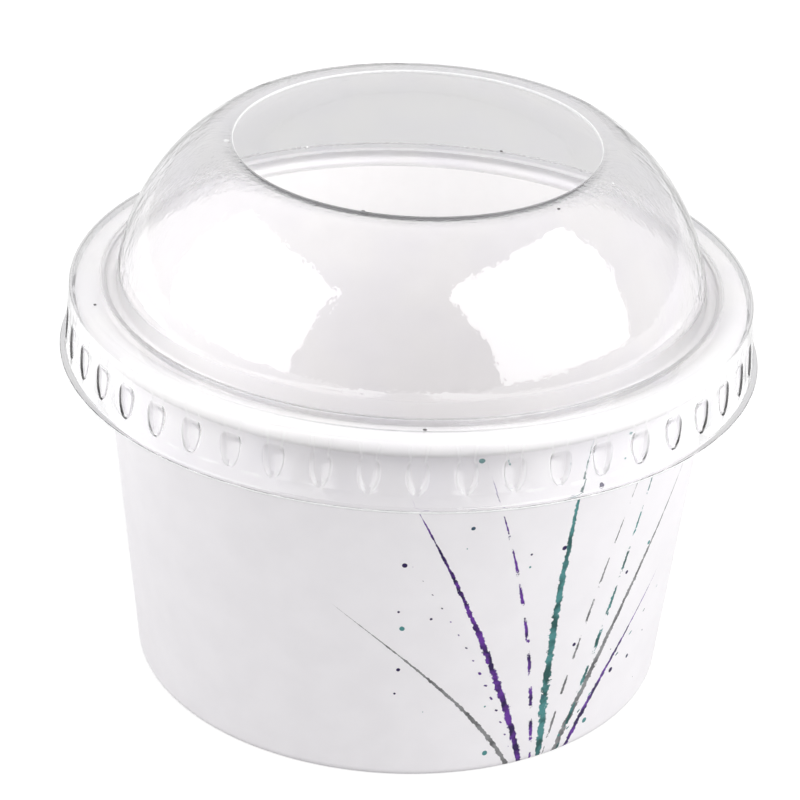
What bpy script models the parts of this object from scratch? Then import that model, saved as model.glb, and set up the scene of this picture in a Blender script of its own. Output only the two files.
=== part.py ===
"""Paper dessert cup with a clear dome lid.

The cup is two paperboard pieces: a tapered sidewall with a rolled rim and a turned-in foot hem, and a
bottom disc whose skirt is held in that hem. The lid is one thermoformed sheet: a dome with a round
serving hole, a groove that drops into the cup's mouth, a flange over the roll, and a flared skirt with
a ring of tongues beside the roll. Lengths are in metres, +Z is up, and the cup stands on z = 0.
"""

import math

import bmesh
import bpy

MM = 0.001

# Paperboard cup
BASE_RADIUS = 38.2 * MM  # outside of the sidewall, carried down to the table
WALL_SLOPE = 0.10  # outward lean of the sidewall for each unit of height
CUP_HEIGHT = 58.0 * MM  # table to the top of the roll
PAPER = 0.45 * MM  # coated board
ROLL_RADIUS = 1.9 * MM  # outside of the rolled rim
CURL_GAP = 0.2 * MM  # between the end of the curl and the wall
CURL_TURN = math.radians(374)  # how far round the sheet is curled
CURL_CLOSES_FROM = math.radians(-20)  # the curl draws in from here, seen in section
CURL_CLOSED_AT = math.radians(-150)
FOLD_RADIUS = 0.6 * MM  # corners of the fold that the cup stands on
HEM_HEIGHT = 5.2 * MM
BASE_RISE = 2.0 * MM  # from the top of the hem to the top of the bottom disc
BASE_CORNER = 0.9 * MM
LAP_WIDTH = 7.0 * MM  # overlap of the side seam
LAP_RUN_OUT = 8.0 * MM  # where the sheet settles back on the round, beyond the edge of the lower ply
LAP_EDGE = 0.15 * MM
LAP_ANGLE = math.radians(12)  # cut edge of the upper ply, on the right and just behind

# Clear lid
SHEET = 0.38 * MM
CLEARANCE = 0.3 * MM  # between pieces that touch on the real cup
HOLE_RADIUS = 25.4 * MM
CROWN_WIDTH = 3.4 * MM  # flat ring round the hole
DOME_HEIGHT = 20.3 * MM  # top of the flange to the flat ring
DOME_ARC_RADIUS = 28.8 * MM  # bulge of the dome's side
GROOVE_WIDTH = 1.3 * MM
GROOVE_DEPTH = 1.5 * MM
GROOVE_SHOULDER = 0.7 * MM
SHOULDER_TURN = math.radians(63)  # from the groove's side, which leans, up to the flange
FLANGE_CORNER = 1.4 * MM
SKIRT_SLOPE = 0.08
LIP_WIDTH = 0.3 * MM  # flat edge beyond the bend that turns the lip out, and radius of that bend
TONGUE_COUNT = 44
TONGUE_WIDTH = 3.3 * MM
TONGUE_START = 1.02 * MM  # below the widest line of the roll
TONGUE_RISE = 0.9 * MM  # height over which a tongue is drawn in to its full depth
TONGUE_GRIP = 2.0 * MM  # height that has the full depth
TONGUE_RUN_OUT = 1.9 * MM  # height over which it runs out to its tip
TONGUE_DEPTH = 0.45 * MM  # halfway down the grip
SKIRT_FOOT = 2.3 * MM  # from the tips of the tongues to the lowest edge
TONGUE_ANGLE = math.radians(-86.6)  # the tongue nearest the front
TONGUE_FLAT = 0.55  # share of a tongue's width that is at full depth
TONGUE_NARROWING = 0.6  # depth left beside the middle where the tongue starts to run out

# Fineness of the round surfaces
COLUMNS_PER_TONGUE = 5  # the middle, and a side and an edge each way
CUP_COLUMNS = 48
LEAST_SPACING = 1 / 6  # of the even spacing, below which a column gives way to one of the seam's own
CURL_OUTER_STEPS = (3, 3, 6)  # up to the top of the roll, out to its widest, and round to the end
CURL_INNER_STEPS = (2, 2, 4)
FOLD_STEPS = 2
DOME_STEPS = 5
GROOVE_STEPS = 3
CORNER_STEPS = 2

PAPER_COLOUR = (0.86, 0.855, 0.87, 1.0)
LID_COLOUR = (0.97, 0.975, 0.98, 1.0)


def clear_scene():
    for obj in list(bpy.data.objects):
        bpy.data.objects.remove(obj, do_unlink=True)


def make_material(name, colour, roughness, transmission=0.0, ior=1.45):
    material = bpy.data.materials.new(name)
    material.use_nodes = True
    shader = material.node_tree.nodes["Principled BSDF"]
    shader.inputs["Base Color"].default_value = colour
    shader.inputs["Roughness"].default_value = roughness
    shader.inputs["Metallic"].default_value = 0.0
    shader.inputs["Transmission Weight"].default_value = transmission
    shader.inputs["IOR"].default_value = ior
    return material


def finish_object(name, bm, material, parent, sharp_angle=40):
    """Turns the mesh into an object with smooth round faces, under its parent."""
    bmesh.ops.recalc_face_normals(bm, faces=bm.faces)
    mesh = bpy.data.meshes.new(name)
    bm.to_mesh(mesh)
    bm.free()
    mesh.shade_smooth()
    mesh.set_sharp_from_angle(angle=math.radians(sharp_angle))
    mesh.materials.append(material)
    obj = bpy.data.objects.new(name, mesh)
    bpy.context.scene.collection.objects.link(obj)
    obj.parent = parent
    return obj


def make_empty(name, height):
    empty = bpy.data.objects.new(name, None)
    empty.location = (0.0, 0.0, height)
    bpy.context.scene.collection.objects.link(empty)
    return empty


def arc(centre, radius, start, end, steps):
    """Points on a circle in the (radius, height) section, from one angle to another."""
    points = []
    for step in range(steps + 1):
        angle = start + (end - start) * step / steps
        points.append((centre[0] + radius * math.cos(angle), centre[1] + radius * math.sin(angle)))
    return points


def even_angles(count, first=0.0):
    return [first + math.tau * k / count for k in range(count)]


def add_ring(bm, angles, radii, height):
    """A ring of vertices, kept with their angles. radii holds one value for each angle."""
    return [
        (angle, bm.verts.new((r * math.cos(angle), r * math.sin(angle), height)))
        for angle, r in zip(angles, radii)
    ]


def bridge_rings(bm, ring_a, ring_b):
    """Faces between two rings: quads where they have the same angles, and triangles where they differ.

    Between two rings of a skirt with tongues the quads are split, alike on both sides of each tongue.
    """
    count_a, count_b = len(ring_a), len(ring_b)
    if count_a == count_b:
        for k in range(count_a):
            n = (k + 1) % count_a
            a, a_next, b_next, b = ring_a[k][1], ring_a[n][1], ring_b[n][1], ring_b[k][1]
            if count_a != TONGUE_COUNT * COLUMNS_PER_TONGUE:
                bm.faces.new((a, a_next, b_next, b))
            elif k % COLUMNS_PER_TONGUE <= COLUMNS_PER_TONGUE // 2:
                bm.faces.new((a, a_next, b_next))
                bm.faces.new((a, b_next, b))
            else:
                bm.faces.new((a, a_next, b))
                bm.faces.new((a_next, b_next, b))
        return
    angles_a = [angle for angle, _ in ring_a] + [ring_a[0][0] + math.tau]
    angles_b = [angle for angle, _ in ring_b] + [ring_b[0][0] + math.tau]
    i = j = 0
    while i < count_a or j < count_b:
        here_a, here_b = ring_a[i % count_a][1], ring_b[j % count_b][1]
        step_a = j == count_b or (i < count_a and angles_a[i + 1] <= angles_b[j + 1])
        if step_a:
            i += 1
            bm.faces.new((here_a, ring_a[i % count_a][1], here_b))
        else:
            j += 1
            bm.faces.new((here_a, ring_b[j % count_b][1], here_b))


def close_sections(bm, rings):
    """Joins each ring to the next, and the last to the first, into one closed skin."""
    for k, ring in enumerate(rings):
        bridge_rings(bm, ring, rings[(k + 1) % len(rings)])


def wall_radius(height):
    """Outside radius of the paper sidewall."""
    return BASE_RADIUS + WALL_SLOPE * height


def roll_centre():
    """Centre of the rolled rim in section, placed so that the roll starts flush with the inside wall."""
    height = CUP_HEIGHT - ROLL_RADIUS
    return wall_radius(height) - PAPER + ROLL_RADIUS, height


def rim_radius():
    return roll_centre()[0] + ROLL_RADIUS


def curl_points(inner, steps):
    """One face of the curled sheet, from the inside wall over the top and round to the tucked end."""
    start = math.pi - math.atan(WALL_SLOPE)
    corners = (start, math.pi / 2, 0.0, start - CURL_TURN)
    angles = [start]
    for turn_from, turn_to, count in zip(corners, corners[1:], steps):
        angles += [turn_from + (turn_to - turn_from) * step / count for step in range(1, count + 1)]
    tucked = ROLL_RADIUS - PAPER - CURL_GAP
    centre = roll_centre()
    points = []
    for angle in angles:
        share = min(1.0, max(0.0, (CURL_CLOSES_FROM - angle) / (CURL_CLOSES_FROM - CURL_CLOSED_AT)))
        radius = ROLL_RADIUS + (tucked - ROLL_RADIUS) * share
        if inner:
            radius -= PAPER
        points.append((centre[0] + radius * math.cos(angle), centre[1] + radius * math.sin(angle)))
    return points


def hem_pocket():
    """Width of the pocket in the hem, which holds the skirt of the bottom disc."""
    return PAPER + 2 * CLEARANCE


def lap_columns():
    """Angles round the sidewall, with how far its outer and its inner face stand out at each.

    From the cut edge outside to the cut edge inside the wall is two plies thick. Beyond that it is one
    ply again, which lies a ply further out at first and runs back to the round.
    """
    radius = wall_radius(CUP_HEIGHT / 2)
    outer_edge = (LAP_ANGLE - LAP_EDGE / radius, LAP_ANGLE)
    lower_end = LAP_ANGLE + LAP_WIDTH / radius
    inner_edge = (lower_end, lower_end + LAP_EDGE / radius)
    settled = inner_edge[1] + LAP_RUN_OUT / radius
    seam = [*outer_edge, *inner_edge, settled]
    spacing = math.tau / CUP_COLUMNS
    even = [
        angle
        for angle in even_angles(CUP_COLUMNS)
        if all(abs(angle - own) > spacing * LEAST_SPACING for own in seam)
    ]
    columns = []
    for angle in sorted(seam + even):
        outer = inner = 0.0
        if outer_edge[1] <= angle < settled:
            outer = PAPER * min(1.0, (settled - angle) / (settled - inner_edge[1]))
        if inner_edge[1] <= angle:
            inner = outer
        columns.append((angle, outer, inner))
    return columns


def make_cup_wall(material, parent):
    """Sidewall, rolled rim and foot hem, all one sheet: its section is a ribbon of constant thickness."""
    below_roll = CUP_HEIGHT - 2 * ROLL_RADIUS - CURL_GAP
    lap_top = below_roll - PAPER
    lap_foot = FOLD_RADIUS + PAPER
    hem_outer = BASE_RADIUS - PAPER - hem_pocket()
    hem_inner = hem_outer - PAPER
    fold_floor = PAPER

    angles, outer_lap, inner_lap = zip(*lap_columns())
    plain = [0.0] * len(angles)
    section = [(wall_radius(FOLD_RADIUS), FOLD_RADIUS, plain)]
    section += [(wall_radius(lap_foot), lap_foot, outer_lap), (wall_radius(lap_top), lap_top, outer_lap)]
    section += [(wall_radius(below_roll), below_roll, plain)]
    section += [(r, z, plain) for r, z in curl_points(True, CURL_INNER_STEPS)]
    section += [(r, z, plain) for r, z in reversed(curl_points(False, CURL_OUTER_STEPS))]
    section += [(wall_radius(below_roll) - PAPER, below_roll, plain)]
    section += [(wall_radius(lap_top) - PAPER, lap_top, inner_lap)]
    section += [(wall_radius(lap_foot) - PAPER, lap_foot, inner_lap)]
    section += [(wall_radius(fold_floor) - PAPER, fold_floor, plain), (hem_outer, fold_floor, plain)]
    section += [(hem_outer + WALL_SLOPE * HEM_HEIGHT, HEM_HEIGHT, plain)]
    section += [(hem_inner + WALL_SLOPE * HEM_HEIGHT, HEM_HEIGHT, plain)]
    inner_corner = (hem_inner + FOLD_RADIUS, FOLD_RADIUS)
    outer_corner = (BASE_RADIUS - FOLD_RADIUS, FOLD_RADIUS)
    fold = arc(inner_corner, FOLD_RADIUS, math.pi, 1.5 * math.pi, FOLD_STEPS)
    fold += arc(outer_corner, FOLD_RADIUS, 1.5 * math.pi, 2 * math.pi, FOLD_STEPS)[:-1]
    section += [(r, z, plain) for r, z in fold]

    bm = bmesh.new()
    rings = [add_ring(bm, angles, [r + stands_out for stands_out in lap], z) for r, z, lap in section]
    close_sections(bm, rings)
    return finish_object("cup_wall", bm, material, parent)


def make_cup_base(material, parent):
    """Bottom disc with its skirt turned down into the hem."""

    def disc_radius(height):
        return wall_radius(height) - PAPER - CLEARANCE

    disc_top = HEM_HEIGHT + BASE_RISE
    skirt_foot = PAPER + CLEARANCE
    outer_corner = (disc_radius(disc_top) - BASE_CORNER, disc_top - BASE_CORNER)
    inner_radius = BASE_CORNER - PAPER
    section = [(disc_radius(skirt_foot), skirt_foot)]
    section += arc(outer_corner, BASE_CORNER, 0.0, math.pi / 2, CORNER_STEPS)
    under = arc(outer_corner, inner_radius, math.pi / 2, 0.0, CORNER_STEPS)
    end = [(disc_radius(skirt_foot) - PAPER, skirt_foot)]

    angles = even_angles(CUP_COLUMNS)
    bm = bmesh.new()
    rings = [add_ring(bm, angles, [r] * len(angles), z) for r, z in section + under + end]
    top_ring, under_ring = len(section) - 1, len(section)
    for k, ring in enumerate(rings):
        if k != top_ring:
            bridge_rings(bm, ring, rings[(k + 1) % len(rings)])
    for ring in (rings[top_ring], rings[under_ring]):
        bmesh.ops.contextual_create(bm, geom=[vert for _, vert in ring])
    return finish_object("cup_base", bm, material, parent)


def offset_section(points, distance):
    """The other face of a sheet: each point moved along the bisector of its two segments."""
    moved = []
    for k, (r, z) in enumerate(points):
        normals = []
        for a, b in ((k - 1, k), (k, k + 1)):
            if a < 0 or b >= len(points):
                continue
            dr, dz = points[b][0] - points[a][0], points[b][1] - points[a][1]
            length = math.hypot(dr, dz)
            normals.append((dz / length, -dr / length))
        nr = sum(n[0] for n in normals) / len(normals)
        nz = sum(n[1] for n in normals) / len(normals)
        scale = distance / (nr * nr + nz * nz)
        moved.append((r + nr * scale, z + nz * scale))
    return moved


def mouth_radius():
    return roll_centre()[0] - ROLL_RADIUS


def groove_outer():
    """Upper face of the groove's outer side, whose under face clears the cup's mouth."""
    return mouth_radius() - CLEARANCE - SHEET


def tongue_radius():
    """Outer face of a tongue at full depth: its inner face clears the roll."""
    return rim_radius() + CLEARANCE + SHEET


def tongue_levels():
    """Depths below the top of the flange: a tongue's top, both ends of its grip, and its tip."""
    top = SHEET + CLEARANCE + ROLL_RADIUS + TONGUE_START
    grip_top = top + TONGUE_RISE
    grip_end = grip_top + TONGUE_GRIP
    return top, grip_top, grip_end, grip_end + TONGUE_RUN_OUT


def skirt_depth():
    return tongue_levels()[3] + SKIRT_FOOT


def skirt_radius(depth):
    """Outer face of the skirt between the tongues, at a depth below the top of the flange."""
    grip_middle = tongue_levels()[1] + TONGUE_GRIP / 2
    return tongue_radius() + TONGUE_DEPTH + SKIRT_SLOPE * (depth - grip_middle)


def dome_points():
    """Side of the dome, an arc from the flat ring down to the top of the groove."""
    foot = (groove_outer() - GROOVE_WIDTH, 0.0)
    head = (HOLE_RADIUS + CROWN_WIDTH, DOME_HEIGHT)
    chord = math.dist(foot, head)
    middle = ((foot[0] + head[0]) / 2, (foot[1] + head[1]) / 2)
    sagitta_side = math.sqrt(DOME_ARC_RADIUS**2 - (chord / 2) ** 2)
    across = ((head[0] - foot[0]) / chord, (head[1] - foot[1]) / chord)
    centre = (middle[0] - across[1] * sagitta_side, middle[1] + across[0] * sagitta_side)
    start = math.atan2(head[1] - centre[1], head[0] - centre[0])
    end = math.atan2(foot[1] - centre[1], foot[0] - centre[0])
    return arc(centre, DOME_ARC_RADIUS, start, end, DOME_STEPS)


def upper_section():
    """Upper face of the lid from the hole to the top of the skirt, with heights from the flange."""
    groove_radius = GROOVE_WIDTH / 2
    groove_centre = (groove_outer() - groove_radius, groove_radius - GROOVE_DEPTH)
    flange_end = skirt_radius(FLANGE_CORNER) - FLANGE_CORNER
    points = [(HOLE_RADIUS, DOME_HEIGHT)]
    points += dome_points()
    points += arc(groove_centre, groove_radius, math.pi, 2 * math.pi, GROOVE_STEPS)
    shoulder_centre = (groove_outer() + GROOVE_SHOULDER, -GROOVE_SHOULDER)
    points += arc(shoulder_centre, GROOVE_SHOULDER, math.pi / 2 + SHOULDER_TURN, math.pi / 2, CORNER_STEPS)
    points += arc((flange_end, -FLANGE_CORNER), FLANGE_CORNER, math.pi / 2, 0.0, CORNER_STEPS)
    return points


def lower_section():
    """Outer face of the lid from below the tongues to the edge of the lip."""
    lip_level = SHEET - skirt_depth()
    turn = LIP_WIDTH
    foot = skirt_radius(skirt_depth())
    corner = arc((foot + turn, lip_level + turn), turn, math.pi, 1.5 * math.pi, CORNER_STEPS)
    return corner + [(foot + 2 * turn, lip_level)]


def tongue_columns():
    """Angles round the skirt, with how deep the tongue is at each as a share of its middle."""
    pitch = math.tau / TONGUE_COUNT
    half = TONGUE_WIDTH / 2 / tongue_radius()
    flat = half * TONGUE_FLAT
    columns = []
    for k in range(TONGUE_COUNT):
        middle = TONGUE_ANGLE + k * pitch
        columns += [(middle, "middle"), (middle + flat, "side"), (middle + half, "edge")]
        columns += [(middle + pitch - half, "edge"), (middle + pitch - flat, "side")]
    return columns


def add_tongue_rings(bm, sheet_offset, columns):
    """Four rings of the skirt. The two at the ends of the grip are drawn in to the tongues' radius."""
    angles = [angle for angle, _ in columns]
    top, grip_top, grip_end, tip = tongue_levels()
    drawn_in = ((top, 0.0, 0.0), (grip_top, 1.0, 1.0), (grip_end, 1.0, TONGUE_NARROWING), (tip, 0.0, 0.0))
    rings = []
    for depth, middle_share, side_share in drawn_in:
        share = {"middle": middle_share, "side": side_share, "edge": 0.0}
        inset = skirt_radius(depth) - tongue_radius()
        radii = [skirt_radius(depth) - sheet_offset - inset * share[place] for _, place in columns]
        rings.append(add_ring(bm, angles, radii, -depth))
    return rings


def make_dome_lid(material, parent):
    """Thermoformed lid. Its upper face runs from the hole to the lip, and its under face runs back."""
    angles = even_angles(2 * TONGUE_COUNT, TONGUE_ANGLE)
    columns = tongue_columns()
    upper, lower = upper_section(), lower_section()
    # The skirt's faces continue each section, so that the offset is true where the parts meet.
    under = offset_section(upper + lower, SHEET)
    upper_under, lower_under = under[: len(upper)], under[len(upper) :]

    bm = bmesh.new()
    rings = [add_ring(bm, angles, [r] * len(angles), z) for r, z in upper]
    rings += add_tongue_rings(bm, 0.0, columns)
    rings += [add_ring(bm, angles, [r] * len(angles), z) for r, z in lower]
    rings += [add_ring(bm, angles, [r] * len(angles), z) for r, z in reversed(lower_under)]
    rings += list(reversed(add_tongue_rings(bm, SHEET, columns)))
    rings += [add_ring(bm, angles, [r] * len(angles), z) for r, z in reversed(upper_under)]
    close_sections(bm, rings)
    return finish_object("dome_lid", bm, material, parent, sharp_angle=30)


def main():
    clear_scene()
    bpy.context.scene.unit_settings.scale_length = 1.0
    board = make_material("white_board", PAPER_COLOUR, roughness=0.5)
    inner_board = make_material("bottom_board", PAPER_COLOUR, roughness=0.5)
    clear_sheet = make_material("clear_sheet", LID_COLOUR, roughness=0.04, transmission=1.0, ior=1.57)
    cup = make_empty("cup", 0.0)
    lid = make_empty("lid", CUP_HEIGHT + CLEARANCE + SHEET)
    make_cup_wall(board, cup)
    make_cup_base(inner_board, cup)
    make_dome_lid(clear_sheet, lid)


main()
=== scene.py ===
import math

import bmesh
import bpy
from mathutils import Matrix, Vector


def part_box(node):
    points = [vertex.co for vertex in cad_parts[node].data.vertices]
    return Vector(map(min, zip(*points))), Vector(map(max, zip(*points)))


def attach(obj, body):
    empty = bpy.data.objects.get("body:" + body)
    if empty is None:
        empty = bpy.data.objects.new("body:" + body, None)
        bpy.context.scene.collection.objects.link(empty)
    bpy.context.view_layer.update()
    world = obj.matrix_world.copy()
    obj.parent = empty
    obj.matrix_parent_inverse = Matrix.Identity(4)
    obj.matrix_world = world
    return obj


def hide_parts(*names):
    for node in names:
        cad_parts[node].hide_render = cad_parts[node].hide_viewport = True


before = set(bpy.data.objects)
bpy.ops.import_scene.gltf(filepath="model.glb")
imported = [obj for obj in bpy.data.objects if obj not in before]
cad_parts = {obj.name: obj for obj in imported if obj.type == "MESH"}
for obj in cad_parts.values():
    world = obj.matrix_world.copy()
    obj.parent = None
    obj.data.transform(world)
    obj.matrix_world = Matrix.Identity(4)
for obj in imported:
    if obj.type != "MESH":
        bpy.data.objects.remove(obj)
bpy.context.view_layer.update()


# Bottom disc
# A round of plain paperboard, coated inside and drawn into a shallow tray with its skirt turned down.
# The hem of the sidewall grips that skirt, so the disc stands a few millimetres above the table.
MM = 0.001
BOARD = 0.45 * MM
WALL_LEAN = 0.10  # the sidewall leans out by this for each unit of height
DISC_CORNER = 0.9 * MM
DISC_COLUMNS = 160
DISC_OUTER_STEPS = 8
DISC_INNER_STEPS = 6
DISC_FLAT = 0.97  # share of the way to the corner that is flat
DISC_SUNK = 0.6  # share of the flat that sinks a little where the board was drawn
DISC_DISHING = 0.12 * MM
DISC_MIDDLE = 0.5 * MM  # radius of the small round that closes the skin at the axis
BOARD_WHITE = (0.902, 0.889, 0.893, 1.0)
BOARD_SHADE = (0.882, 0.869, 0.873, 1.0)
BOARD_ROUGHNESS = (0.42, 0.56)
BOARD_SPECULAR = 0.25
# Each noise has its scale per metre, its detail and its roughness, and each bump its strength and height.
BOARD_CLOUDS = (260, 4.0, 0.6)
BOARD_SHEEN = (900, 3.0)
BOARD_WAVES = (45, 1.0)
BOARD_FIBRES = (2600, 3.0, 0.6)
WAVES_UPRIGHT = (1.0, 1.0, 0.35)
WAVE_BUMP = (0.25, 1.2 * MM)
FIBRE_BUMP = (0.12, 0.05 * MM)
# The middle part of a noise, which is spread over the whole of its effect.
NOISE_MIDDLE = (0.35, 0.65)
NOISE_WIDE = (0.3, 0.7)
# Sockets of the Mix node that take the two colours and give the mixed one.
MIX_FIRST, MIX_SECOND, MIX_RESULT = 6, 7, 2


def round_corner(centre, radius, start_deg, end_deg, steps):
    """Points of an arc in the (radius, height) section of a turned piece."""
    points = []
    for step in range(steps + 1):
        angle = math.radians(start_deg + (end_deg - start_deg) * step / steps)
        points.append((centre[0] + radius * math.cos(angle), centre[1] + radius * math.sin(angle)))
    return points


def even_round(count):
    return [math.tau * k / count for k in range(count)]


def ring_at(radius, height, angles):
    return [(radius * math.cos(a), radius * math.sin(a), height) for a in angles]


def piece_of(name, bm):
    """The finished mesh as a piece in the scene."""
    mesh = bpy.data.meshes.new(name)
    bm.to_mesh(mesh)
    bm.free()
    piece = bpy.data.objects.new(name, mesh)
    bpy.context.scene.collection.objects.link(piece)
    return piece


def skin_rings(name, rings, ends_filled=False):
    """A skin of quads over rings of points. The last ring meets the first, or both ends are filled."""
    count = len(rings[0])
    bm = bmesh.new()
    verts = [[bm.verts.new(point) for point in ring] for ring in rings]
    joined = len(rings) - 1 if ends_filled else len(rings)
    for k in range(joined):
        here, there = verts[k], verts[(k + 1) % len(rings)]
        for i in range(count):
            j = (i + 1) % count
            bm.faces.new((here[i], here[j], there[j], there[i]))
    if ends_filled:
        bm.faces.new(verts[0])
        bm.faces.new(verts[-1])
    bmesh.ops.recalc_face_normals(bm, faces=bm.faces)
    piece = piece_of(name, bm)
    piece.data.shade_smooth()
    return piece


def new_material(name):
    """A material with its node tree, its Principled shader and its output."""
    material = bpy.data.materials.new(name)
    material.use_nodes = True
    tree = material.node_tree
    return material, tree, tree.nodes["Principled BSDF"], tree.nodes["Material Output"]


def add_noise(tree, scale, detail=2.0, roughness=0.5, stretch=(1.0, 1.0, 1.0), place=None):
    """Noise in the piece's own place, or at another one, scale counted per metre."""
    if place is None:
        place = tree.nodes.new("ShaderNodeTexCoord").outputs["Object"]
    mapping = tree.nodes.new("ShaderNodeMapping")
    mapping.inputs["Scale"].default_value = stretch
    tree.links.new(place, mapping.inputs["Vector"])
    noise = tree.nodes.new("ShaderNodeTexNoise")
    noise.inputs["Scale"].default_value = scale
    noise.inputs["Detail"].default_value = detail
    noise.inputs["Roughness"].default_value = roughness
    tree.links.new(mapping.outputs["Vector"], noise.inputs["Vector"])
    return noise.outputs["Fac"]


def add_spread(tree, value, low, high, to_low=0.0, to_high=1.0):
    """The value, with low to high spread over to_low to to_high."""
    spread = tree.nodes.new("ShaderNodeMapRange")
    spread.inputs["From Min"].default_value = low
    spread.inputs["From Max"].default_value = high
    spread.inputs["To Min"].default_value = to_low
    spread.inputs["To Max"].default_value = to_high
    tree.links.new(value, spread.inputs["Value"])
    return spread.outputs["Result"]


def add_mix(tree, share, first, second):
    """A colour between first and second, each a socket or a plain colour."""
    mix = tree.nodes.new("ShaderNodeMix")
    mix.data_type = "RGBA"
    tree.links.new(share, mix.inputs["Factor"])
    for value, socket in ((first, mix.inputs[MIX_FIRST]), (second, mix.inputs[MIX_SECOND])):
        if isinstance(value, bpy.types.NodeSocket):
            tree.links.new(value, socket)
        else:
            socket.default_value = value
    return mix.outputs[MIX_RESULT]


def add_bump(tree, height, strength, distance, under=None):
    """A normal from this height. under is the normal of a coarser bump."""
    bump = tree.nodes.new("ShaderNodeBump")
    bump.inputs["Strength"].default_value = strength
    bump.inputs["Distance"].default_value = distance
    tree.links.new(height, bump.inputs["Height"])
    if under is not None:
        tree.links.new(under, bump.inputs["Normal"])
    return bump.outputs["Normal"]


def finish_board(tree, shader):
    """Coated paperboard: cloudy white, with a low sheen over fine fibres and the board's long waves."""
    cloud = add_spread(tree, add_noise(tree, *BOARD_CLOUDS), *NOISE_MIDDLE)
    colour = add_mix(tree, cloud, BOARD_WHITE, BOARD_SHADE)
    sheen = add_spread(tree, add_noise(tree, *BOARD_SHEEN), *NOISE_WIDE, *BOARD_ROUGHNESS)
    tree.links.new(sheen, shader.inputs["Roughness"])
    waves = add_bump(tree, add_noise(tree, *BOARD_WAVES, stretch=WAVES_UPRIGHT), *WAVE_BUMP)
    fibres = add_bump(tree, add_noise(tree, *BOARD_FIBRES), *FIBRE_BUMP, waves)
    tree.links.new(fibres, shader.inputs["Normal"])
    shader.inputs["Specular IOR Level"].default_value = BOARD_SPECULAR
    return colour


disc_low, disc_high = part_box("cup_base")
disc_top, disc_foot, disc_radius = disc_high.z, disc_low.z, disc_high.x
disc_foot_radius = disc_radius - WALL_LEAN * (disc_top - disc_foot)
corner_centre = (disc_radius - DISC_CORNER, disc_top - DISC_CORNER)
flat_radius = corner_centre[0] * DISC_FLAT
sunk_radius = flat_radius * DISC_SUNK
sunk_level = disc_top - DISC_DISHING

upper_side = [(disc_foot_radius, disc_foot)]
upper_side += round_corner(corner_centre, DISC_CORNER, 0, 90, DISC_OUTER_STEPS)
upper_side += [(flat_radius, disc_top), (sunk_radius, sunk_level), (DISC_MIDDLE, sunk_level)]
lower_side = [(DISC_MIDDLE, sunk_level - BOARD), (sunk_radius, sunk_level - BOARD)]
lower_side += [(flat_radius, disc_top - BOARD)]
lower_side += round_corner(corner_centre, DISC_CORNER - BOARD, 90, 0, DISC_INNER_STEPS)
lower_side += [(disc_foot_radius - BOARD, disc_foot)]

disc_angles = even_round(DISC_COLUMNS)
disc_section = upper_side[::-1] + lower_side[::-1]
disc_rings = [ring_at(r, z, disc_angles) for r, z in disc_section]
bottom_disc = skin_rings("bottom_disc", disc_rings, ends_filled=True)

disc_material, tree, shader, output = new_material("Coated board, plain")
tree.links.new(finish_board(tree, shader), shader.inputs["Base Color"])
bottom_disc.data.materials.append(disc_material)
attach(bottom_disc, "cup")
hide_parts("cup_base")


# Sidewall
# One blank of the same board, printed outside and wrapped to a cone, with its lap on the right, just behind.
# Its top edge is curled outwards into the rim roll and its bottom edge is turned in and up as the hem.
ROLL_RADIUS = 1.9 * MM
ROLL_GAP = 0.2 * MM  # between the curled end and the sheet that it tucks in beside
ROLL_TURN = 374  # degrees that the edge is curled through
ROLL_CLOSES_FROM = -20  # degrees from which the curl draws in, and at which it is fully drawn in
ROLL_CLOSED_AT = -150
ROLL_STEPS = 44
FOLD_RADIUS = 0.6 * MM
FOLD_STEPS = 6
HEM_HEIGHT = 5.2 * MM
HEM_POCKET = 1.05 * MM  # between wall and hem, where the skirt of the bottom disc is held
SEAM_ANGLE = math.radians(12)
SEAM_WIDTH = 7.0 * MM
SEAM_RUN_OUT = 8.0 * MM  # past the lap, over which the wall comes back to its round
SEAM_EDGE = 0.15 * MM  # round the wall, over which a cut edge steps
WALL_COLUMNS = 240
WALL_STEPS = 12
SHARP_ABOVE = math.radians(50)

wall_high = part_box("cup_wall")[1]
cup_height = wall_high.z
foot_radius = wall_high.x - ROLL_RADIUS - (ROLL_RADIUS - BOARD) - WALL_LEAN * (cup_height - ROLL_RADIUS)


def clamped(value):
    """The value, kept from 0 to 1."""
    return min(1.0, max(0.0, value))


def eased(share):
    """A share from 0 to 1 that starts and ends level."""
    return share * share * (3 - 2 * share)


def wall_radius(height):
    return foot_radius + WALL_LEAN * height


def roll_points(inner):
    """One face of the curled edge, from the inside wall over the top and round to its tucked end."""
    centre = (wall_radius(cup_height - ROLL_RADIUS) - BOARD + ROLL_RADIUS, cup_height - ROLL_RADIUS)
    start = 180 - math.degrees(math.atan(WALL_LEAN))
    tucked = ROLL_RADIUS - BOARD - ROLL_GAP
    points = []
    for step in range(ROLL_STEPS + 1):
        angle = start - ROLL_TURN * step / ROLL_STEPS
        share = clamped((ROLL_CLOSES_FROM - angle) / (ROLL_CLOSES_FROM - ROLL_CLOSED_AT))
        radius = ROLL_RADIUS + (tucked - ROLL_RADIUS) * share - (BOARD if inner else 0.0)
        turned = math.radians(angle)
        points.append((centre[0] + radius * math.cos(turned), centre[1] + radius * math.sin(turned)))
    return points


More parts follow.
